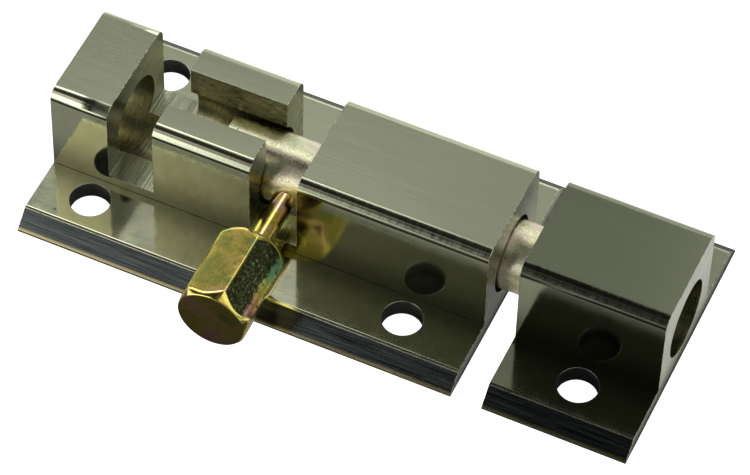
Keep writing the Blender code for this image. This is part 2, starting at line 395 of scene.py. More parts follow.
def anodised_bevel(name, colour):
    """The front sloping edge: painted nearly black and bluish as painted shade, with fine lengthwise scratches and a
    brown strip below that is a painted reflection.
    """
    # Painted shade: the front slope's colour is cut to about a fifth of the tone, bluish.
    dark = (colour[0] * 0.18, colour[1] * 0.20, colour[2] * 0.28)
    r = Recipe(name, dark, 0.2)
    lines = r.noise(r.stretched((0.14, 14, 14)), detail=4, rough=0.75, distortion=0.1)
    scratches = r.noise(r.stretched((0.25, 30, 30)), detail=2, rough=0.7)
    tone = r.mix(r.between(lines, 0.38, 0.62), shade(dark, 0.35), shade(dark, 1.3))
    tone = r.mix(r.between(scratches, 0.68, 0.8, 0, 0.5), tone, shade(colour, 0.7))
    # Painted reflection: a brown strip along the foot of the slope, below 0.62 mm.
    strip = r.between(r.along(2), 0.45 * MM, 0.62 * MM, 1, 0)
    tone = r.mix(strip, tone, (colour[0] * 0.9, colour[1] * 0.72, colour[2] * 0.5))
    height = r.math("ADD", r.math("MULTIPLY", lines, 0.7), r.math("MULTIPLY", scratches, 0.3))
    normal = r.bump(height, 0.0022 * MM)
    return r.set(base=tone, roughness=r.between(lines, 0.3, 0.7, 0.12, 0.22), normal=normal)


def highlighted_edge(name, colour):
    """The drawn corner between flange and slope, painted pale as a painted highlight."""
    # Painted highlight: the edge's colour is raised to 1.5 times the tone.
    bright = tuple(min(1.0, c * 1.5 + 0.05) for c in colour)
    r = Recipe(name, bright, 0.16)
    nicks = r.noise(r.stretched((0.9, 3, 3)), detail=4, rough=0.7)
    tone = r.mix(r.between(nicks, 0.56, 0.7), bright, shade(colour, 0.5))
    return r.set(base=tone, roughness=r.between(nicks, 0.3, 0.7, 0.14, 0.26))


def shaded_corner(name, colour):
    """The inside corner along the foot of the block, painted nearly black as painted shade."""
    # Painted shade: the corner is 0.02 to 0.05 of the tone.
    dark = shade(colour, 0.02)
    r = Recipe(name, dark, 0.5)
    corner_mottle = r.noise(r.stretched((0.5, 4, 4)), detail=3)
    return r.set(base=r.mix(r.between(corner_mottle, 0.4, 0.6), dark, shade(colour, 0.05)))


def anodised_sawn(name, colour, shaded_to_front=False):
    """Sawn ends and gap walls: saw marks along the cut, brown streaks, dark specks. The gap walls darken towards the
    front: painted shade.
    """
    brown = (colour[0] * 0.95, colour[1] * 0.82, colour[2] * 0.62)
    r = Recipe(name, colour, 0.26)
    marks = r.noise(r.stretched((4, 0.22, 3.4), (radians(-6), 0, 0)), detail=5, rough=0.72)
    fine = r.noise(r.stretched((9, 0.6, 12), (radians(-6), 0, 0)), detail=3, rough=0.7)
    stains = r.noise(r.stretched((0.5, 0.45, 0.6)), detail=4, rough=0.65, distortion=0.4)
    tone = r.mix(r.between(marks, 0.34, 0.66), shade(colour, 0.5), shade(colour, 0.98))
    tone = r.mix(r.between(stains, 0.45, 0.62, 0, 0.85), tone, brown)
    tone = r.mix(r.between(stains, 0.3, 0.42, 0.6, 0), tone, shade(brown, 0.3))
    tone = r.mix(r.specks(1.3, 0.16, 0.25), tone, shade(colour, 0.15))
    if shaded_to_front:
        # Painted shade: 0.22 of the tone at the front, 0.75 at the back.
        tone = r.dimmed(tone, r.between(r.along(1), -4.5 * MM, 5 * MM, 0.22, 0.75))
    height = r.math("ADD", r.math("MULTIPLY", marks, 0.6), r.math("MULTIPLY", fine, 0.4))
    return r.set(base=tone, roughness=r.between(fine, 0.3, 0.7, 0.17, 0.3), normal=r.bump(height, 0.010 * MM))


def anodised_gap_wall(name, colour):
    """Sawn faces of the barrel section: like the others, but with painted shade that darkens them, most towards the
    front, the knob's side.
    """
    return anodised_sawn(name, colour, shaded_to_front=True)


def torn_edge(name, colour):
    """The arris of a sawn face: bright burrs between dark chips."""
    bright = tuple(min(1.0, c * 1.6 + 0.05) for c in colour)
    r = Recipe(name, bright, 0.3)
    chips = r.noise(r.stretched((2.2, 2.2, 2.2)), detail=4, rough=0.75)
    tone = r.mix(r.between(chips, 0.46, 0.54), bright, shade(colour, 0.12))
    return r.set(base=tone, roughness=0.3, normal=r.bump(chips, 0.02 * MM))


def anodised_gap_floor(name, colour):
    """Floors of the two gaps: fine cutter lines that run across the section, from wall to wall."""
    r = Recipe(name, colour, 0.2)
    lines = r.noise(r.stretched((3.2, 0.03, 0.03)), detail=5, rough=0.78)
    fine = r.noise(r.stretched((26, 0.15, 0.15)), detail=2)
    tone = r.mix(r.between(lines, 0.42, 0.58), shade(colour, 0.5), shade(colour, 1.0))
    tone = r.mix(r.between(fine, 0.6, 0.75, 0, 0.6), tone, shade(colour, 1.3))
    height = r.math("ADD", r.math("MULTIPLY", lines, 0.7), r.math("MULTIPLY", fine, 0.3))
    return r.set(base=tone, roughness=r.between(fine, 0.3, 0.7, 0.15, 0.26), normal=r.bump(height, 0.012 * MM))


def anodised_slot(name, colour):
    """Milled walls of the pin slot: slanting cutter streaks, browner and darker than the skin."""
    brown = (colour[0] * 0.80, colour[1] * 0.66, colour[2] * 0.55)
    r = Recipe(name, brown, 0.3)
    streaks = r.noise(r.stretched((0.8, 1, 5.5), (0, radians(-30), 0)), detail=5, rough=0.75, distortion=0.25)
    patches = r.noise(r.stretched((0.45, 0.4, 0.7)), detail=3, rough=0.6)
    tone = r.mix(r.between(streaks, 0.36, 0.64), shade(brown, 0.35), shade(colour, 1.0))
    tone = r.mix(r.between(patches, 0.45, 0.65, 0, 0.8), tone, brown)
    tone = r.mix(r.specks(1.2, 0.14, 0.2), tone, shade(colour, 1.3))
    rough = r.between(streaks, 0.3, 0.7, 0.2, 0.36)
    return r.set(base=tone, roughness=rough, normal=r.bump(streaks, 0.03 * MM))


def anodised_bore(name, colour):
    """Inside the bore: drawn smooth, with painted shade that makes it darker than the skin, soft brown smears and faint
    rings.
    """
    # Painted shade: the bore's colour is dimmed to 0.4 to 0.5 of the tone.
    r = Recipe(name, shade(colour, 0.5), 0.28)
    rings = r.noise(r.stretched((5, 0.3, 0.3)), detail=3, rough=0.7)
    smears = r.noise(r.stretched((0.3, 0.8, 0.8)), detail=3)
    brown = (colour[0] * 0.75, colour[1] * 0.66, colour[2] * 0.5)
    tone = r.mix(r.between(smears, 0.35, 0.65), shade(colour, 0.4), brown)
    return r.set(base=tone, roughness=r.between(rings, 0.3, 0.7, 0.22, 0.34), normal=r.bump(rings, 0.004 * MM))


def drilled_hole(name, colour):
    """Walls of the screw holes: greyer than the skin, with faint drill rings and a few burrs."""
    grey = (colour[0] * 0.95, colour[1] * 0.93, colour[1] * 0.85)
    r = Recipe(name, grey, 0.3)
    rings = r.noise(r.stretched((0.4, 0.4, 6)), detail=3, rough=0.7)
    tone = r.mix(r.between(rings, 0.35, 0.65), shade(grey, 0.75), grey)
    tone = r.mix(r.specks(1.6, 0.22, 0.22), tone, shade(colour, 0.12))
    return r.set(base=tone, roughness=0.32, normal=r.bump(rings, 0.006 * MM))


FINISHES = (
    ("flat", anodised_flat), ("rounded", anodised_round), ("bevel", anodised_bevel), ("sawn", anodised_sawn),
    ("gap floor", anodised_gap_floor), ("slot", anodised_slot), ("bore", anodised_bore), ("hole", drilled_hole),
    ("edge", highlighted_edge), ("corner", shaded_corner), ("side", anodised_side), ("arris", torn_edge),
    ("gap wall", anodised_gap_wall),
)


def finish_section(piece, sizes, colour, label, holes):
    """Gives each face of a sawn section its finish, by where the face is and which way it looks."""
    mesh = piece.data
    mesh.materials.clear()
    for suffix, recipe in FINISHES:
        mesh.materials.append(recipe(f"{label} {suffix}", colour))
    number = {suffix: k for k, (suffix, _) in enumerate(FINISHES)}
    centre, normal = face_arrays(mesh)
    x, y, z = centre.T
    facing = np.abs(normal)
    near = 0.12 * MM
    block_half, height, radius = sizes.block_width / 2, sizes.block_height, sizes.edge_radius
    from_axis = np.hypot(y, z - BOLT_AXIS_Z)
    kind = np.full(len(centre), number["flat"])
    kind[(y < 0) & (facing[:, 1] > 0.9)] = number["side"]
    kind[(y < -block_half) & (facing[:, 2] > 0.9)] = number["side"]
    rounded = (z > height - radius - near / 4) & (np.abs(y) > block_half - radius) & (facing[:, 0] < 0.2)
    kind[rounded & (facing[:, 2] < 0.9995) & (facing[:, 1] < 0.9995)] = number["rounded"]
    slope = (normal[:, 2] > 0.4) & (normal[:, 2] < 0.95) & (z < sizes.flange_thickness) & (facing[:, 0] < 0.3)
    # Only the front slope gets the bevel finish with its painted shade; the back slope keeps the tops' finish.
    kind[slope & (y < 0)] = number["bevel"]
    flange_edge = BODY_HIGH.y - sizes.flange_slope
    # The drawn flange edges get the painted highlight.
    kind[slope & (normal[:, 2] > 0.78) & (np.abs(np.abs(y) - flange_edge) < 2 * sizes.easing)] = number["edge"]
    inner = (np.abs(np.abs(y) - block_half) < sizes.easing) & (np.abs(z - sizes.flange_thickness) < sizes.easing)
    # The inside corner gets the painted shade.
    kind[inner & (facing[:, 2] < 0.995) & (facing[:, 1] < 0.995) & (facing[:, 0] < 0.3)] = number["corner"]
    kind[(facing[:, 0] > 0.2) & (facing[:, 0] <= 0.9)] = number["arris"]
    kind[facing[:, 0] > 0.9] = number["sawn"]
    # Sawn faces of the barrel section that face +X get the painted shade of the gap walls.
    kind[(normal[:, 0] > 0.9) & (x < BODY_HIGH.x + near)] = number["gap wall"]
    kind[(np.abs(z - sizes.gap_floor) < near) & (normal[:, 2] > 0.9) & (np.abs(y) < block_half)] = number["gap floor"]
    kind[(np.abs(y) < sizes.slot_width / 2 + near) & (facing[:, 1] > 0.6) & (z > BOLT_AXIS_Z + 2 * MM)] = number["slot"]
    kind[(from_axis < sizes.bore / 2 + near / 2) & (facing[:, 0] < 0.6) & (z > MM)] = number["bore"]
    for place in holes:
        for side in (-1, 1):
            at = np.hypot(x - place, y - side * sizes.hole_offset)
            kind[(at < sizes.screw_hole / 2 + near) & (z > 0.01 * MM) & (facing[:, 2] < 0.95)] = number["hole"]
    mesh.polygons.foreach_set("material_index", kind.astype(np.int32))


# ------------------------------------------------------------------ properties
def length(label, default, description):
    return bpy.props.FloatProperty(name=label, description=description, default=default, unit="LENGTH", precision=5)


def tint(label, default, description):
    return bpy.props.FloatVectorProperty(
        name=label, description=description, default=default, size=3, subtype="COLOR", min=0, max=1)


class LatchSectionSizes(bpy.types.PropertyGroup):
    """Sizes shared by the barrel section and the keeper."""
    block_width: length("Block width", 13.2 * MM, "Width of the raised block, wall to wall")
    block_height: length("Block height", BODY_HIGH.z, "Top of the block above the underside")
    edge_radius: length("Edge radius", 1.3 * MM, "Radius of the block's two long top edges")
    flange_thickness: length("Flange thickness", 2.15 * MM, "Thickness of the two flanges")
    flange_slope: length("Flange slope", 1.9 * MM, "Width of the sloping outer edge of a flange")
    flange_easing: length("Flange easing", 0.6 * MM, "Radius between a flange and its sloping edge")
    flange_land: length("Flange land", 0.35 * MM, "Upright strip below that slope")
    easing: length("Easing", 0.13 * MM, "Radius of the drawn edges of the flanges")
    saw_easing: length("Saw easing", 0.045 * MM, "Width taken off the sawn edges")
    bore: length("Bore", 8.6 * MM, "Diameter of the bore for the bolt")
    slot_width: length("Slot width", 5.2 * MM, "Width of the slot for the knob's pin")
    gap_floor: length("Gap floor", 3.4 * MM, "Height that both gaps leave standing")
    screw_hole: length("Screw hole", 4.4 * MM, "Diameter of the screw holes")
    hole_offset: length("Hole offset", 9.5 * MM, "Screw holes' distance from the middle line")
    body_colour: tint("Body colour", (0.60, 0.63, 0.43), "Anodised tone of the barrel section")
    keeper_colour: tint("Keeper colour", (0.30, 0.33, 0.22), "Anodised tone of the keeper")


class LatchBoltSizes(bpy.types.PropertyGroup):
    """Sizes of the bolt."""
    chamfer: length("Chamfer", 0.4 * MM, "Chamfer at both ends of the bolt")
    colour: tint("Bolt colour", (0.86, 0.87, 0.72), "Pale zinc of the bolt")


class LatchKnobSizes(bpy.types.PropertyGroup):
    """Sizes of the knob pin."""
    shank: length("Shank", 2.45 * MM, "Diameter of the shank")
    across_flats: length("Across flats", 7.66 * MM, "Width of the hexagon across its flats")
    head_start: length("Head start", 11.535 * MM, "From the bolt's axis to the head")
    head_length: length("Head length", 9.9 * MM, "Length of the head")
    face: length("Round face", 7.35 * MM, "Diameter of the round flat on each end of the head")
    chamfer: bpy.props.FloatProperty(
        name="Chamfer slope", description="Slope of the turned ends of the head", default=radians(58), subtype="ANGLE")
    turn: bpy.props.FloatProperty(
        name="Hexagon turn", description="Angle of one corner above the X direction", default=radians(15.3),
        subtype="ANGLE")
    rest: bpy.props.FloatProperty(
        name="Rest angle", description="Rise of the pin above level, lying on the flange", default=radians(0.8877),
        subtype="ANGLE")


class LatchStageSizes(bpy.types.PropertyGroup):
    """The floor and the light."""
    floor_radius: length("Floor radius", 4.0, "Radius of the pale floor and its backdrop")
    light: bpy.props.FloatProperty(
        name="Light", description="Brightness of the studio tent", default=1.0, min=0)


GROUPS = (
    (LatchSectionSizes, "latch_section"), (LatchBoltSizes, "latch_bolt"), (LatchKnobSizes, "latch_knob"),
    (LatchStageSizes, "latch_stage"),
)


# ------------------------------------------------------------------ sections
def section_outline(sizes):
    """Half the section from the underside's outer corner to the block's top, mirrored, with every corner rounded."""
    half, thick = sizes.block_width / 2, sizes.flange_thickness
    outer = BODY_HIGH.y
    right = [
        (outer, 0), (outer, sizes.flange_land), (outer - sizes.flange_slope, thick), (half, thick),
        (half, sizes.block_height),
    ]
    radii = [sizes.easing / 2, sizes.easing, sizes.flange_easing, sizes.easing / 3, sizes.edge_radius]
    counts = [3, 3, 8, 3, 28]
    left = [(-y, z) for y, z in reversed(right)]
    return rounded_outline(right + left, radii + radii[::-1], counts + counts[::-1])


def screw_cutters(places, sizes, label):
    return [
        round_bar(f"cut_{label}_{k}_{side}", (x, side * sizes.hole_offset, -OVERCUT),
                  (x, side * sizes.hole_offset, sizes.flange_thickness + OVERCUT / 2), sizes.screw_hole / 2,
                  HOLE_SEGMENTS)
        for k, x in enumerate(places) for side in (-1, 1)
    ]


def bore_cutter(low, high, sizes):
    start, end = (low.x - OVERCUT, 0, BOLT_AXIS_Z), (high.x + OVERCUT, 0, BOLT_AXIS_Z)
    return round_bar("cut_bore", start, end, sizes.bore / 2, BORE_SEGMENTS)


class LATCH_OT_body(bpy.types.Operator):
    """Builds the barrel section: sawn, bored, slotted and drilled"""
    bl_idname = "latch.body"
    bl_label = "Barrel Section"

    rear_gap: bpy.props.FloatVectorProperty(name="Rear gap", description="Start and end of the rear gap along X",
                                            size=2, default=(-18.4 * MM, -13.2 * MM), unit="LENGTH")
    front_gap: bpy.props.FloatVectorProperty(name="Front gap", description="Start and end of the front gap along X",
                                             size=2, default=(-1.95 * MM, 3.45 * MM), unit="LENGTH")
    holes: bpy.props.FloatVectorProperty(name="Screw holes", description="Places of the screw holes along X",
                                         size=2, default=(-19.2 * MM, 17.0 * MM), unit="LENGTH")

    def execute(self, context):
        sizes = context.scene.latch_section
        piece = extrusion("barrel_section", section_outline(sizes), BODY_LOW.x, BODY_HIGH.x)
        across, above = sizes.block_width / 2 + OVERCUT, sizes.block_height + OVERCUT
        cutters = [bore_cutter(BODY_LOW, BODY_HIGH, sizes)]
        for k, (start, end) in enumerate((self.rear_gap, self.front_gap)):
            cutters.append(block(f"cut_gap_{k}", (start, -across, sizes.gap_floor), (end, across, above)))
        slot = sizes.slot_width / 2
        cutters.append(block("cut_slot", (self.rear_gap[1] - 2 * MM, -slot, BOLT_AXIS_Z),
                             (self.front_gap[0] + 2 * MM, slot, above)))
        cutters += screw_cutters(self.holes, sizes, "body")
        cut_and_ease(piece, cutters, sizes.saw_easing)
        smooth_flats(piece)
        brushing_map(piece.data)
        finish_section(piece, sizes, tuple(sizes.body_colour), "anodised body", self.holes)
        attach(piece, "latch")
        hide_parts("latch_body")
        return {"FINISHED"}


class LATCH_OT_keeper(bpy.types.Operator):
    """Builds the keeper that takes the bolt's nose"""
    bl_idname = "latch.keeper"
    bl_label = "Keeper"

    hole: bpy.props.FloatProperty(name="Screw hole", description="Place of the screw holes along X",
                                  default=36.75 * MM, unit="LENGTH")

    def execute(self, context):
        sizes = context.scene.latch_section
        piece = extrusion("keeper_section", section_outline(sizes), KEEPER_LOW.x, KEEPER_HIGH.x)
        cutters = [bore_cutter(KEEPER_LOW, KEEPER_HIGH, sizes)] + screw_cutters([self.hole], sizes, "keeper")
        cut_and_ease(piece, cutters, sizes.saw_easing)
        smooth_flats(piece)
        brushing_map(piece.data)
        finish_section(piece, sizes, tuple(sizes.keeper_colour), "anodised keeper", [self.hole])
        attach(piece, "latch")
        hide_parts("keeper")
        return {"FINISHED"}


# ------------------------------------------------------------------ bolt
def zinc_finish(colour):
    """Pale passivated zinc: bright and fine-grained, yellow-green with pink stains and dark specks."""
    r = Recipe("pale zinc", colour, 0.24)
    stains = r.noise(r.stretched((0.35, 0.5, 0.5)), detail=4, rough=0.6, distortion=0.6)
    patches = r.noise(r.stretched((0.9, 1.3, 1.3)), detail=3, rough=0.6)
    grain = r.noise(r.stretched((9, 9, 9)), detail=3, rough=0.7)
    tone = r.ramp(stains, [
        (0.30, (0.76, 0.86, 0.58)), (0.42, (0.92, 0.94, 0.60)), (0.52, (0.96, 0.92, 0.64)),
        (0.60, (0.94, 0.80, 0.64)), (0.66, (0.88, 0.90, 0.46)), (0.78, (0.70, 0.82, 0.56)),
    ])
    tone = r.mix(r.between(patches, 0.5, 0.7, 0, 0.5), tone, (0.66, 0.62, 0.38))
    tone = r.mix(r.specks(1.5, 0.16, 0.35), tone, (0.16, 0.15, 0.10))
    tone = r.dimmed(tone, 0.85)
    normal = r.bump(grain, 0.020 * MM, below=r.bump(patches, 0.008 * MM))
    return r.set(base=tone, roughness=r.between(patches, 0.3, 0.7, 0.18, 0.3), normal=normal)


def bolt_surface(chamfer):
    """Points and faces of the bolt: an outline of places along X and distances from the axis, turned about the axis.

    Each outline point becomes a ring of distance * (cos, sin) of the angle, and each end closes on a pole.
    """
    ends = rounded_outline(
        [(BOLT_LOW.x, 0), (BOLT_LOW.x, BOLT_RADIUS - chamfer), (BOLT_LOW.x + chamfer, BOLT_RADIUS),
         (BOLT_HIGH.x - chamfer, BOLT_RADIUS), (BOLT_HIGH.x, BOLT_RADIUS - chamfer), (BOLT_HIGH.x, 0)],
        [0, 0.12 * MM, 0.2 * MM, 0.2 * MM, 0.12 * MM, 0], [0, 4, 4, 4, 4, 0])
    cap = np.linspace(0.02, 0.98, 8)[:, None]
    middle = len(ends) // 2
    stations = np.linspace(0, 1, BOLT_STATIONS + 1)[1:-1, None]
    profile = np.concatenate([
        ends[0] + (ends[1] - ends[0]) * cap, ends[1:middle],
        ends[middle - 1] + (ends[middle] - ends[middle - 1]) * stations,
        ends[middle:-1], ends[-2] + (ends[-1] - ends[-2]) * cap])
    angle = 2 * pi * np.arange(BOLT_COLUMNS) / BOLT_COLUMNS
    along, out = profile[:, :1], profile[:, 1:]
    rings = [np.broadcast_to(along, (len(profile), BOLT_COLUMNS)), out * np.cos(angle),
             BOLT_AXIS_Z + out * np.sin(angle)]
    poles = [(BOLT_LOW.x, 0, BOLT_AXIS_Z), (BOLT_HIGH.x, 0, BOLT_AXIS_Z)]
    points = np.concatenate([np.stack(rings, axis=-1).reshape(-1, 3), poles])
    return points, closed_faces(len(profile), BOLT_COLUMNS)


class LATCH_OT_bolt(bpy.types.Operator):
    """Builds the round bolt with chamfered, rounded ends"""
    bl_idname = "latch.bolt"
    bl_label = "Bolt"

    def execute(self, context):
        piece = new_piece("bolt", *bolt_surface(context.scene.latch_bolt.chamfer))
        piece.data.materials.append(zinc_finish(tuple(context.scene.latch_bolt.colour)))
        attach(piece, "bolt")
        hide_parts("bolt_rod")
        return {"FINISHED"}


def closed_faces(rows, columns):
    """Faces of a tube of rings whose two ends run to the last two points, the poles."""
    number = np.arange(columns)
    first_pole, last_pole = rows * columns, rows * columns + 1
    last_ring = (rows - 1) * columns
    start = np.stack([np.full(columns, first_pole), (number + 1) % columns, number], axis=-1)
    end = np.stack([np.full(columns, last_pole), last_ring + number, last_ring + (number + 1) % columns], axis=-1)
    return grid_faces(rows, columns).tolist() + start.tolist() + end.tolist()


# ------------------------------------------------------------------ knob pin
def chromate_finish(turn):
    """Yellow chromate over bright zinc: a film of changing thickness that turns gold, green, pink and violet.

    One face of the hexagon, half a side on from its first corner, is painted dark as painted shade, with a streak of
    colour along it.
    """
    r = Recipe("yellow chromate", (0.75, 0.55, 0.2), 0.14)
    film = r.noise(r.stretched((0.22, 0.30, 0.22)), detail=3, rough=0.55, distortion=0.8)
    mottle = r.noise(r.stretched((1.4, 1.4, 1.4)), detail=4, rough=0.7)
    fine = r.noise(r.stretched((5, 2.5, 5)), detail=4, rough=0.75)
    thickness = r.math("ADD", r.math("MULTIPLY", film, 0.8), r.math("MULTIPLY", mottle, 0.2))
    tone = r.ramp(thickness, [
        (0.30, (0.42, 0.60, 0.36)), (0.37, (0.48, 0.50, 0.12)), (0.45, (0.74, 0.62, 0.13)), (0.54, (0.92, 0.70, 0.20)),
        (0.60, (0.94, 0.60, 0.34)), (0.66, (0.86, 0.50, 0.50)), (0.74, (0.50, 0.64, 0.50)),
    ])
    tone = r.mix(r.between(fine, 0.52, 0.66, 0, 0.55), tone, (0.34, 0.26, 0.07))
    out = [cos(turn + pi / 6), sin(turn + pi / 6)]
    x = r.math("SUBTRACT", r.along(0), PIN_X)
    z = r.math("SUBTRACT", r.along(2), BOLT_AXIS_Z)
    normal_out = r.math("ADD", r.math("MULTIPLY", r.along(0, "Normal"), out[0]),
                        r.math("MULTIPLY", r.along(2, "Normal"), out[1]))
    # Painted shade: one face of the head is painted dark, with a streak of colour along it.
    shaded_face = r.between(normal_out, 0.95, 0.985)
    shaded_face = r.math("MULTIPLY", shaded_face, r.math("LESS_THAN", r.along(1), HEAD_NEAR_END))
    across = r.math("SUBTRACT", r.math("MULTIPLY", x, out[1]), r.math("MULTIPLY", z, out[0]))
    wander = r.math("MULTIPLY", r.math("SUBTRACT", mottle, 0.5), 1.6 * MM)
    across = r.math("ADD", across, wander)
    streak = r.math("MULTIPLY", r.between(across, 0.6 * MM, 1.15 * MM), r.between(across, 1.35 * MM, 1.9 * MM, 1, 0.1))
    colours = r.ramp(r.between(r.along(1), -12.0 * MM, -21.0 * MM), [
        (0.0, (0.25, 0.50, 0.30)), (0.2, (0.40, 0.78, 0.55)), (0.42, (0.85, 0.92, 0.22)), (0.66, (0.95, 0.75, 0.22)),
        (0.9, (0.98, 0.50, 0.35)), (1.0, (0.9, 0.55, 0.5)),
    ])
    dark = r.mix(r.between(fine, 0.5, 0.68), (0.035, 0.04, 0.018), (0.30, 0.34, 0.13))
    tone = r.mix(shaded_face, tone, r.mix(streak, dark, colours))
    tone = r.mix(r.specks(2.4, 0.18, 0.12), tone, (0.22, 0.18, 0.06))
    rough = r.between(mottle, 0.3, 0.7, 0.10, 0.2)
    return r.set(base=tone, roughness=rough, normal=r.bump(fine, 0.003 * MM, below=r.bump(mottle, 0.006 * MM)))


def soft_least(a, b, reach):
    """The lesser of two arrays, blended by a parabola where they come within reach of each other."""
    close = np.maximum(reach - np.abs(a - b), 0) / reach
    return np.minimum(a, b) - close * close * reach / 4


def knob_surface(sizes):
    """Points and faces of the knob pin: a turned outline, cut to a hexagon.

    The distance from the pin's axis is the lesser of the turned outline and the hexagon, blended by a parabola. The
    hexagon's distance is half its width across flats over the cosine of the angle from the nearest flat's middle, and
    its corners are worn down in the same way. The root of the shank follows the bolt: the square root of the bolt's
    radius squared less the height squared. The whole is then tilted by the rest angle and put in its place.
    """
    start, finish = sizes.head_start, sizes.head_start + sizes.head_length
    shank, face, flats = sizes.shank / 2, sizes.face / 2, sizes.across_flats / 2
    corner = flats / cos(pi / 6)
    stock = corner + STOCK_ALLOWANCE
    slope = (stock - face) * tan(sizes.chamfer)
    turned = rounded_outline(
        [(BOLT_RADIUS, 0), (BOLT_RADIUS, shank), (start, shank), (start, face), (start + slope, stock),
         (finish - slope, stock), (finish, face), (finish, 0)],
        [0, 0, 0.35 * MM, 0.15 * MM, 0, 0, 0.22 * MM, 0], [0, 0, 6, 4, 0, 0, 5, 0])
    steps = np.linalg.norm(np.diff(turned, axis=0), axis=1)
    counts = np.maximum(np.ceil(steps / KNOB_STEP).astype(int), 1)
    parts = [a + (b - a) * np.linspace(0, 1, n, endpoint=False)[:, None]
             for a, b, n in zip(turned[:-1], turned[1:], counts)]
    profile = np.concatenate(parts)[1:]
    shape = (len(profile), KNOB_COLUMNS)
    angle = 2 * pi * np.arange(KNOB_COLUMNS) / KNOB_COLUMNS
    sector = (angle - sizes.turn) % (pi / 3) - pi / 6
    hexagon = soft_least(flats / np.cos(sector), np.full(KNOB_COLUMNS, corner - CORNER_WEAR), CORNER_REACH)
    out = soft_least(np.broadcast_to(profile[:, 1:], shape), hexagon[None, :], TURNED_REACH)
    out = np.where(profile[:, 1:] < face - 0.5 * MM, profile[:, 1:], out)
    across_x, across_z = out * np.cos(angle), out * np.sin(angle)
    at_root = profile[:, :1] < BOLT_RADIUS + 0.02 * MM
    saddle = np.sqrt(np.maximum(BOLT_RADIUS ** 2 - across_z ** 2, 0)) - ROOT_SINK
    along = np.where(at_root, saddle, np.broadcast_to(profile[:, :1], shape))
    points = np.stack([across_x, -along, across_z], axis=-1).reshape(-1, 3)
    points = np.concatenate([points, [(0.0, -(BOLT_RADIUS - ROOT_SINK), 0.0), (0.0, -finish, 0.0)]])
    rise = np.array(Euler((-sizes.rest, 0, 0)).to_matrix())
    return points @ rise.T + np.array([PIN_X, 0, BOLT_AXIS_Z]), closed_faces(*shape)


class LATCH_OT_knob(bpy.types.Operator):
    """Builds the knob pin: shank and hexagonal head in one, with turned ends"""
    bl_idname = "latch.knob"
    bl_label = "Knob Pin"

    def execute(self, context):
        sizes = context.scene.latch_knob
        piece = new_piece("knob_and_pin", *knob_surface(sizes))
        piece.data.materials.append(chromate_finish(sizes.turn))
        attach(piece, "knob")
        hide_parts("knob_pin")
        return {"FINISHED"}


# ------------------------------------------------------------------ stage
WHITE, WARM = (1.0, 1.0, 1.0), (1.0, 0.90, 0.93)
# Brightness around the X direction, with one curve for each band of directions. A stop is an angle in degrees, from
# behind at -90 over the top at 0 to the front at 90, then a level, then a tint where it is not white. The first number
# pair is where the band takes over from the one before, as the direction's share of X.
SKIES = (
    ((-1, -1), (
        (-180, 0.5), (-90, 0.6), (-62, 0.5), (-48, 0.36), (-42, 0.27),
        (-33, 0.24), (-30, 3.4), (-22, 2.8), (-13, 0.4), (-6, 0.05),
        (17, 0.04, WARM), (26, 0.12, WARM), (32, 1.0, WARM), (39, 1.0, WARM), (44, 0.4, WARM),
        (52, 0.85), (62, 2.6), (90, 2.4), (180, 0.5))),
    ((-0.315, -0.25), (
        (-180, 0.5), (-90, 0.6), (-62, 0.9), (-48, 0.8), (-42, 0.34),
        (-34, 0.30), (-32, 2.0), (-27, 1.8), (-22, 0.06), (-5, 0.015),
        (28, 0.012), (33, 0.11), (38, 0.11), (42, 0.015), (54, 0.02),
        (64, 0.06), (84, 0.08), (95, 0.04), (180, 0.3))),
    ((-0.235, -0.21), (
        (-180, 0.5), (-62, 0.8), (-42, 0.34), (-34, 0.32), (-29, 0.10),
        (-20, 0.01), (28, 0.01), (33, 0.07), (38, 0.07), (42, 0.012),
        (62, 0.01), (84, 0.012), (180, 0.3))),
    ((-0.165, -0.10), (
        (-180, 0.5), (-78, 0.8), (-62, 2.4), (-50, 2.6), (-30, 2.0),
        (-22, 0.5), (-8, 0.08), (40, 0.05), (90, 0.3), (180, 0.5))),
    ((0.08, 0.19), (
        (-180, 0.6), (-95, 0.5), (-58, 0.45), (-46, 0.3), (-28, 0.3),
        (-16, 1.4), (20, 1.4), (42, 0.3), (90, 0.3), (180, 0.5))),
)


def tent_light(world, strength):
    """A light tent: brightness follows the angle from behind over the top to the front, one curve per band of X."""
    world.use_nodes = True
    tree = world.node_tree
    tree.nodes.clear()

    facing = add_node(tree, "ShaderNodeTexCoord").outputs["Generated"]
    direction = add_node(tree, "ShaderNodeSeparateXYZ", {0: facing}).outputs
    forward = add_node(tree, "ShaderNodeMath", {0: direction[1], 1: -1.0}, operation="MULTIPLY").outputs[0]
    over = add_node(tree, "ShaderNodeMath", {0: forward, 1: direction[2]}, operation="ARCTAN2").outputs[0]
    share = add_node(tree, "ShaderNodeMapRange", {"Value": over, "From Min": -pi, "From Max": pi}).outputs[0]
    brightest = max(stop[1] for _, stops in SKIES for stop in stops)
    seen = None
    for (start, end), stops in SKIES:
        curve = add_node(tree, "ShaderNodeValToRGB", {"Fac": share})
        elements = curve.color_ramp.elements
        while len(elements) < len(stops):
            elements.new(1.0)
        for element, (angle, level, *tinted) in zip(elements, stops):
            element.position = (angle + 180) / 360
            element.color = (*(c * level / brightest for c in (tinted[0] if tinted else WHITE)), 1)
        if seen is None:
            seen = curve.outputs[0]
            continue
        inputs = {"Value": direction[0], "From Min": start, "From Max": end}
        turn = add_node(tree, "ShaderNodeMapRange", inputs, interpolation_type="SMOOTHSTEP").outputs[0]
        inputs = {0: turn, 6: seen, 7: curve.outputs[0]}
        seen = add_node(tree, "ShaderNodeMix", inputs, data_type="RGBA").outputs[2]
    light = add_node(tree, "ShaderNodeBackground", {"Color": seen, "Strength": brightest * strength})
    output = add_node(tree, "ShaderNodeOutputWorld")
    tree.links.new(light.outputs[0], output.inputs["Surface"])


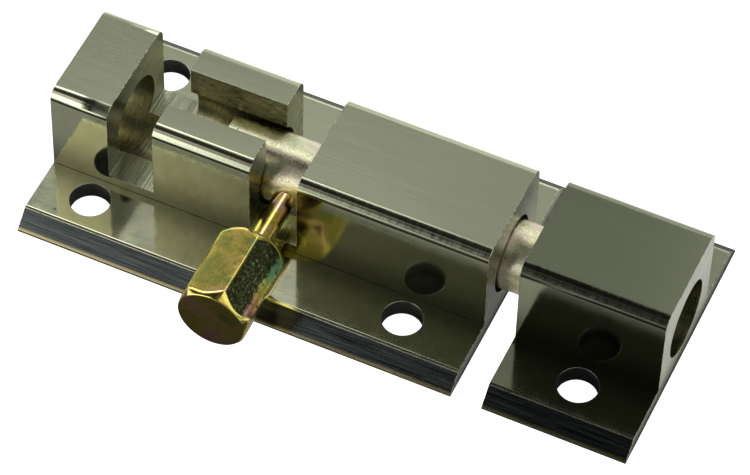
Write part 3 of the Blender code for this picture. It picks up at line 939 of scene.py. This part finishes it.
def mirrored_floor():
    """What the metal mirrors below: dark by default as painted shade, with pale parts that glow as painted light.

    Pale are the ground behind, past the keeper, between the sections, far out at the left and close in front.
    """
    r = Recipe("mirrored floor", (0.5, 0.5, 0.5), 1.0, metallic=0.0)
    x, y = r.along(0), r.along(1)
    behind = r.between(y, 14 * MM, 24 * MM)
    past = r.between(x, 44.5 * MM, 45.6 * MM)
    parting = r.math("MULTIPLY", r.between(x, 24.9 * MM, 25.6 * MM), r.between(x, 28.0 * MM, 28.5 * MM, 0.6, 0))
    beside = r.math("MAXIMUM", r.math("MAXIMUM", behind, past), parting)
    left = r.math("MULTIPLY", r.between(x, -36 * MM, -12 * MM, 1.8, 0.10), r.between(y, -54 * MM, -40 * MM, 1, 0))
    beyond = r.between(x, -25.8 * MM, -25.1 * MM, 0.5, 0)
    strip = r.math("MAXIMUM", beyond, r.between(y, -14 * MM, -12 * MM, 0.5, 0))
    near = r.math("MULTIPLY", r.between(y, -22 * MM, -20.5 * MM), strip)
    pale = r.math("MAXIMUM", beside, left)
    r.shader.inputs["Emission Color"].default_value = (1, 1, 1, 1)
    r.tree.links.new(r.math("MULTIPLY", r.math("MAXIMUM", pale, near), 0.5), r.shader.inputs["Emission Strength"])
    # Painted shade and light: the base colour is 0.05 where dark and 0.70 where pale, and the pale parts also glow.
    return r.set(base=r.mix(pale, (0.05, 0.05, 0.05), (0.70, 0.70, 0.70)))


def glowing(name, colour, strength):
    """A plain matt surface that is bright enough to carry no shadow."""
    made = bpy.data.materials.new(name)
    made.use_nodes = True
    shader = made.node_tree.nodes["Principled BSDF"]
    shader.inputs["Base Color"].default_value = (*colour, 1)
    shader.inputs["Roughness"].default_value = 1.0
    shader.inputs["Emission Color"].default_value = (*colour, 1)
    shader.inputs["Emission Strength"].default_value = strength
    return made


class LATCH_OT_stage(bpy.types.Operator):
    """Lays the pale floor, hangs the light tent and sets the camera"""
    bl_idname = "latch.stage"
    bl_label = "Stage"

    def execute(self, context):
        scene = context.scene
        sizes = scene.latch_stage
        rows, columns = 24, 64
        lift = np.linspace(0, pi / 2, rows)[:, None]
        angle = 2 * pi * np.arange(columns) / columns
        out = sizes.floor_radius * np.cos(lift)
        dome = np.stack([out * np.cos(angle), out * np.sin(angle),
                         np.broadcast_to(sizes.floor_radius * np.sin(lift), (rows, columns))], axis=-1)
        dome = dome[:-1].reshape(-1, 3)
        poles = [(0, 0, -FLOOR_DROP), (0, 0, sizes.floor_radius)]
        dome[:, 2] -= FLOOR_DROP
        floor = new_piece("floor", np.concatenate([dome, poles]), closed_faces(rows - 1, columns))
        floor.data.flip_normals()
        floor.data.materials.append(glowing("pale floor", (1, 1, 1), 1.2))
        for ray in ("glossy", "diffuse", "transmission", "shadow", "volume_scatter"):
            setattr(floor, f"visible_{ray}", False)
        rings = np.linspace(CARD_INNER, CARD_OUTER, CARD_RINGS)[:, None]
        card = np.stack([rings * np.cos(angle), rings * np.sin(angle),
                         np.full((CARD_RINGS, columns), -CARD_DROP)], axis=-1).reshape(-1, 3)
        faces = grid_faces(CARD_RINGS, columns).tolist() + [np.arange(columns)[::-1].tolist()]
        mirrored = new_piece("mirrored_card", card, faces)
        mirrored.data.flip_normals()
        mirrored.data.materials.append(mirrored_floor())
        mirrored.visible_camera = False
        scene.world = bpy.data.worlds.new("light tent")
        tent_light(scene.world, sizes.light)
        camera = bpy.data.objects.new("camera", bpy.data.cameras.new("camera"))
        camera.data.lens, camera.data.sensor_width = CAMERA_LENS, CAMERA_SENSOR
        camera.data.clip_start, camera.data.clip_end = 0.01, 20
        camera.location = CAMERA_PLACE
        camera.rotation_euler = [radians(angle) for angle in CAMERA_TURN]
        scene.collection.objects.link(camera)
        scene.camera = camera
        scene.view_settings.view_transform = "Standard"
        return {"FINISHED"}


class LATCH_PT_panel(bpy.types.Panel):
    """Lists the latch's sizes and the operators that build it"""
    bl_idname = "LATCH_PT_panel"
    bl_label = "Toggle Bolt Latch"
    bl_space_type = "VIEW_3D"
    bl_region_type = "UI"
    bl_category = "Latch"

    def draw(self, context):
        for group, name in GROUPS:
            column = self.layout.column(align=True)
            column.label(text=group.__doc__)
            for key in group.__annotations__:
                column.prop(getattr(context.scene, name), key)
        for operator in OPERATORS:
            self.layout.operator(operator.bl_idname)


OPERATORS = (LATCH_OT_body, LATCH_OT_keeper, LATCH_OT_bolt, LATCH_OT_knob, LATCH_OT_stage)


def register():
    for group, name in GROUPS:
        bpy.utils.register_class(group)
        setattr(bpy.types.Scene, name, bpy.props.PointerProperty(type=group))
    for made in (*OPERATORS, LATCH_PT_panel):
        bpy.utils.register_class(made)


def unregister():
    for made in (LATCH_PT_panel, *reversed(OPERATORS)):
        bpy.utils.unregister_class(made)
    for group, name in reversed(GROUPS):
        delattr(bpy.types.Scene, name)
        bpy.utils.unregister_class(group)


def main():
    register()
    bpy.ops.latch.body()
    bpy.ops.latch.keeper()
    bpy.ops.latch.bolt()
    bpy.ops.latch.knob()
    bpy.ops.latch.stage()


if __name__ == "__main__":
    main()
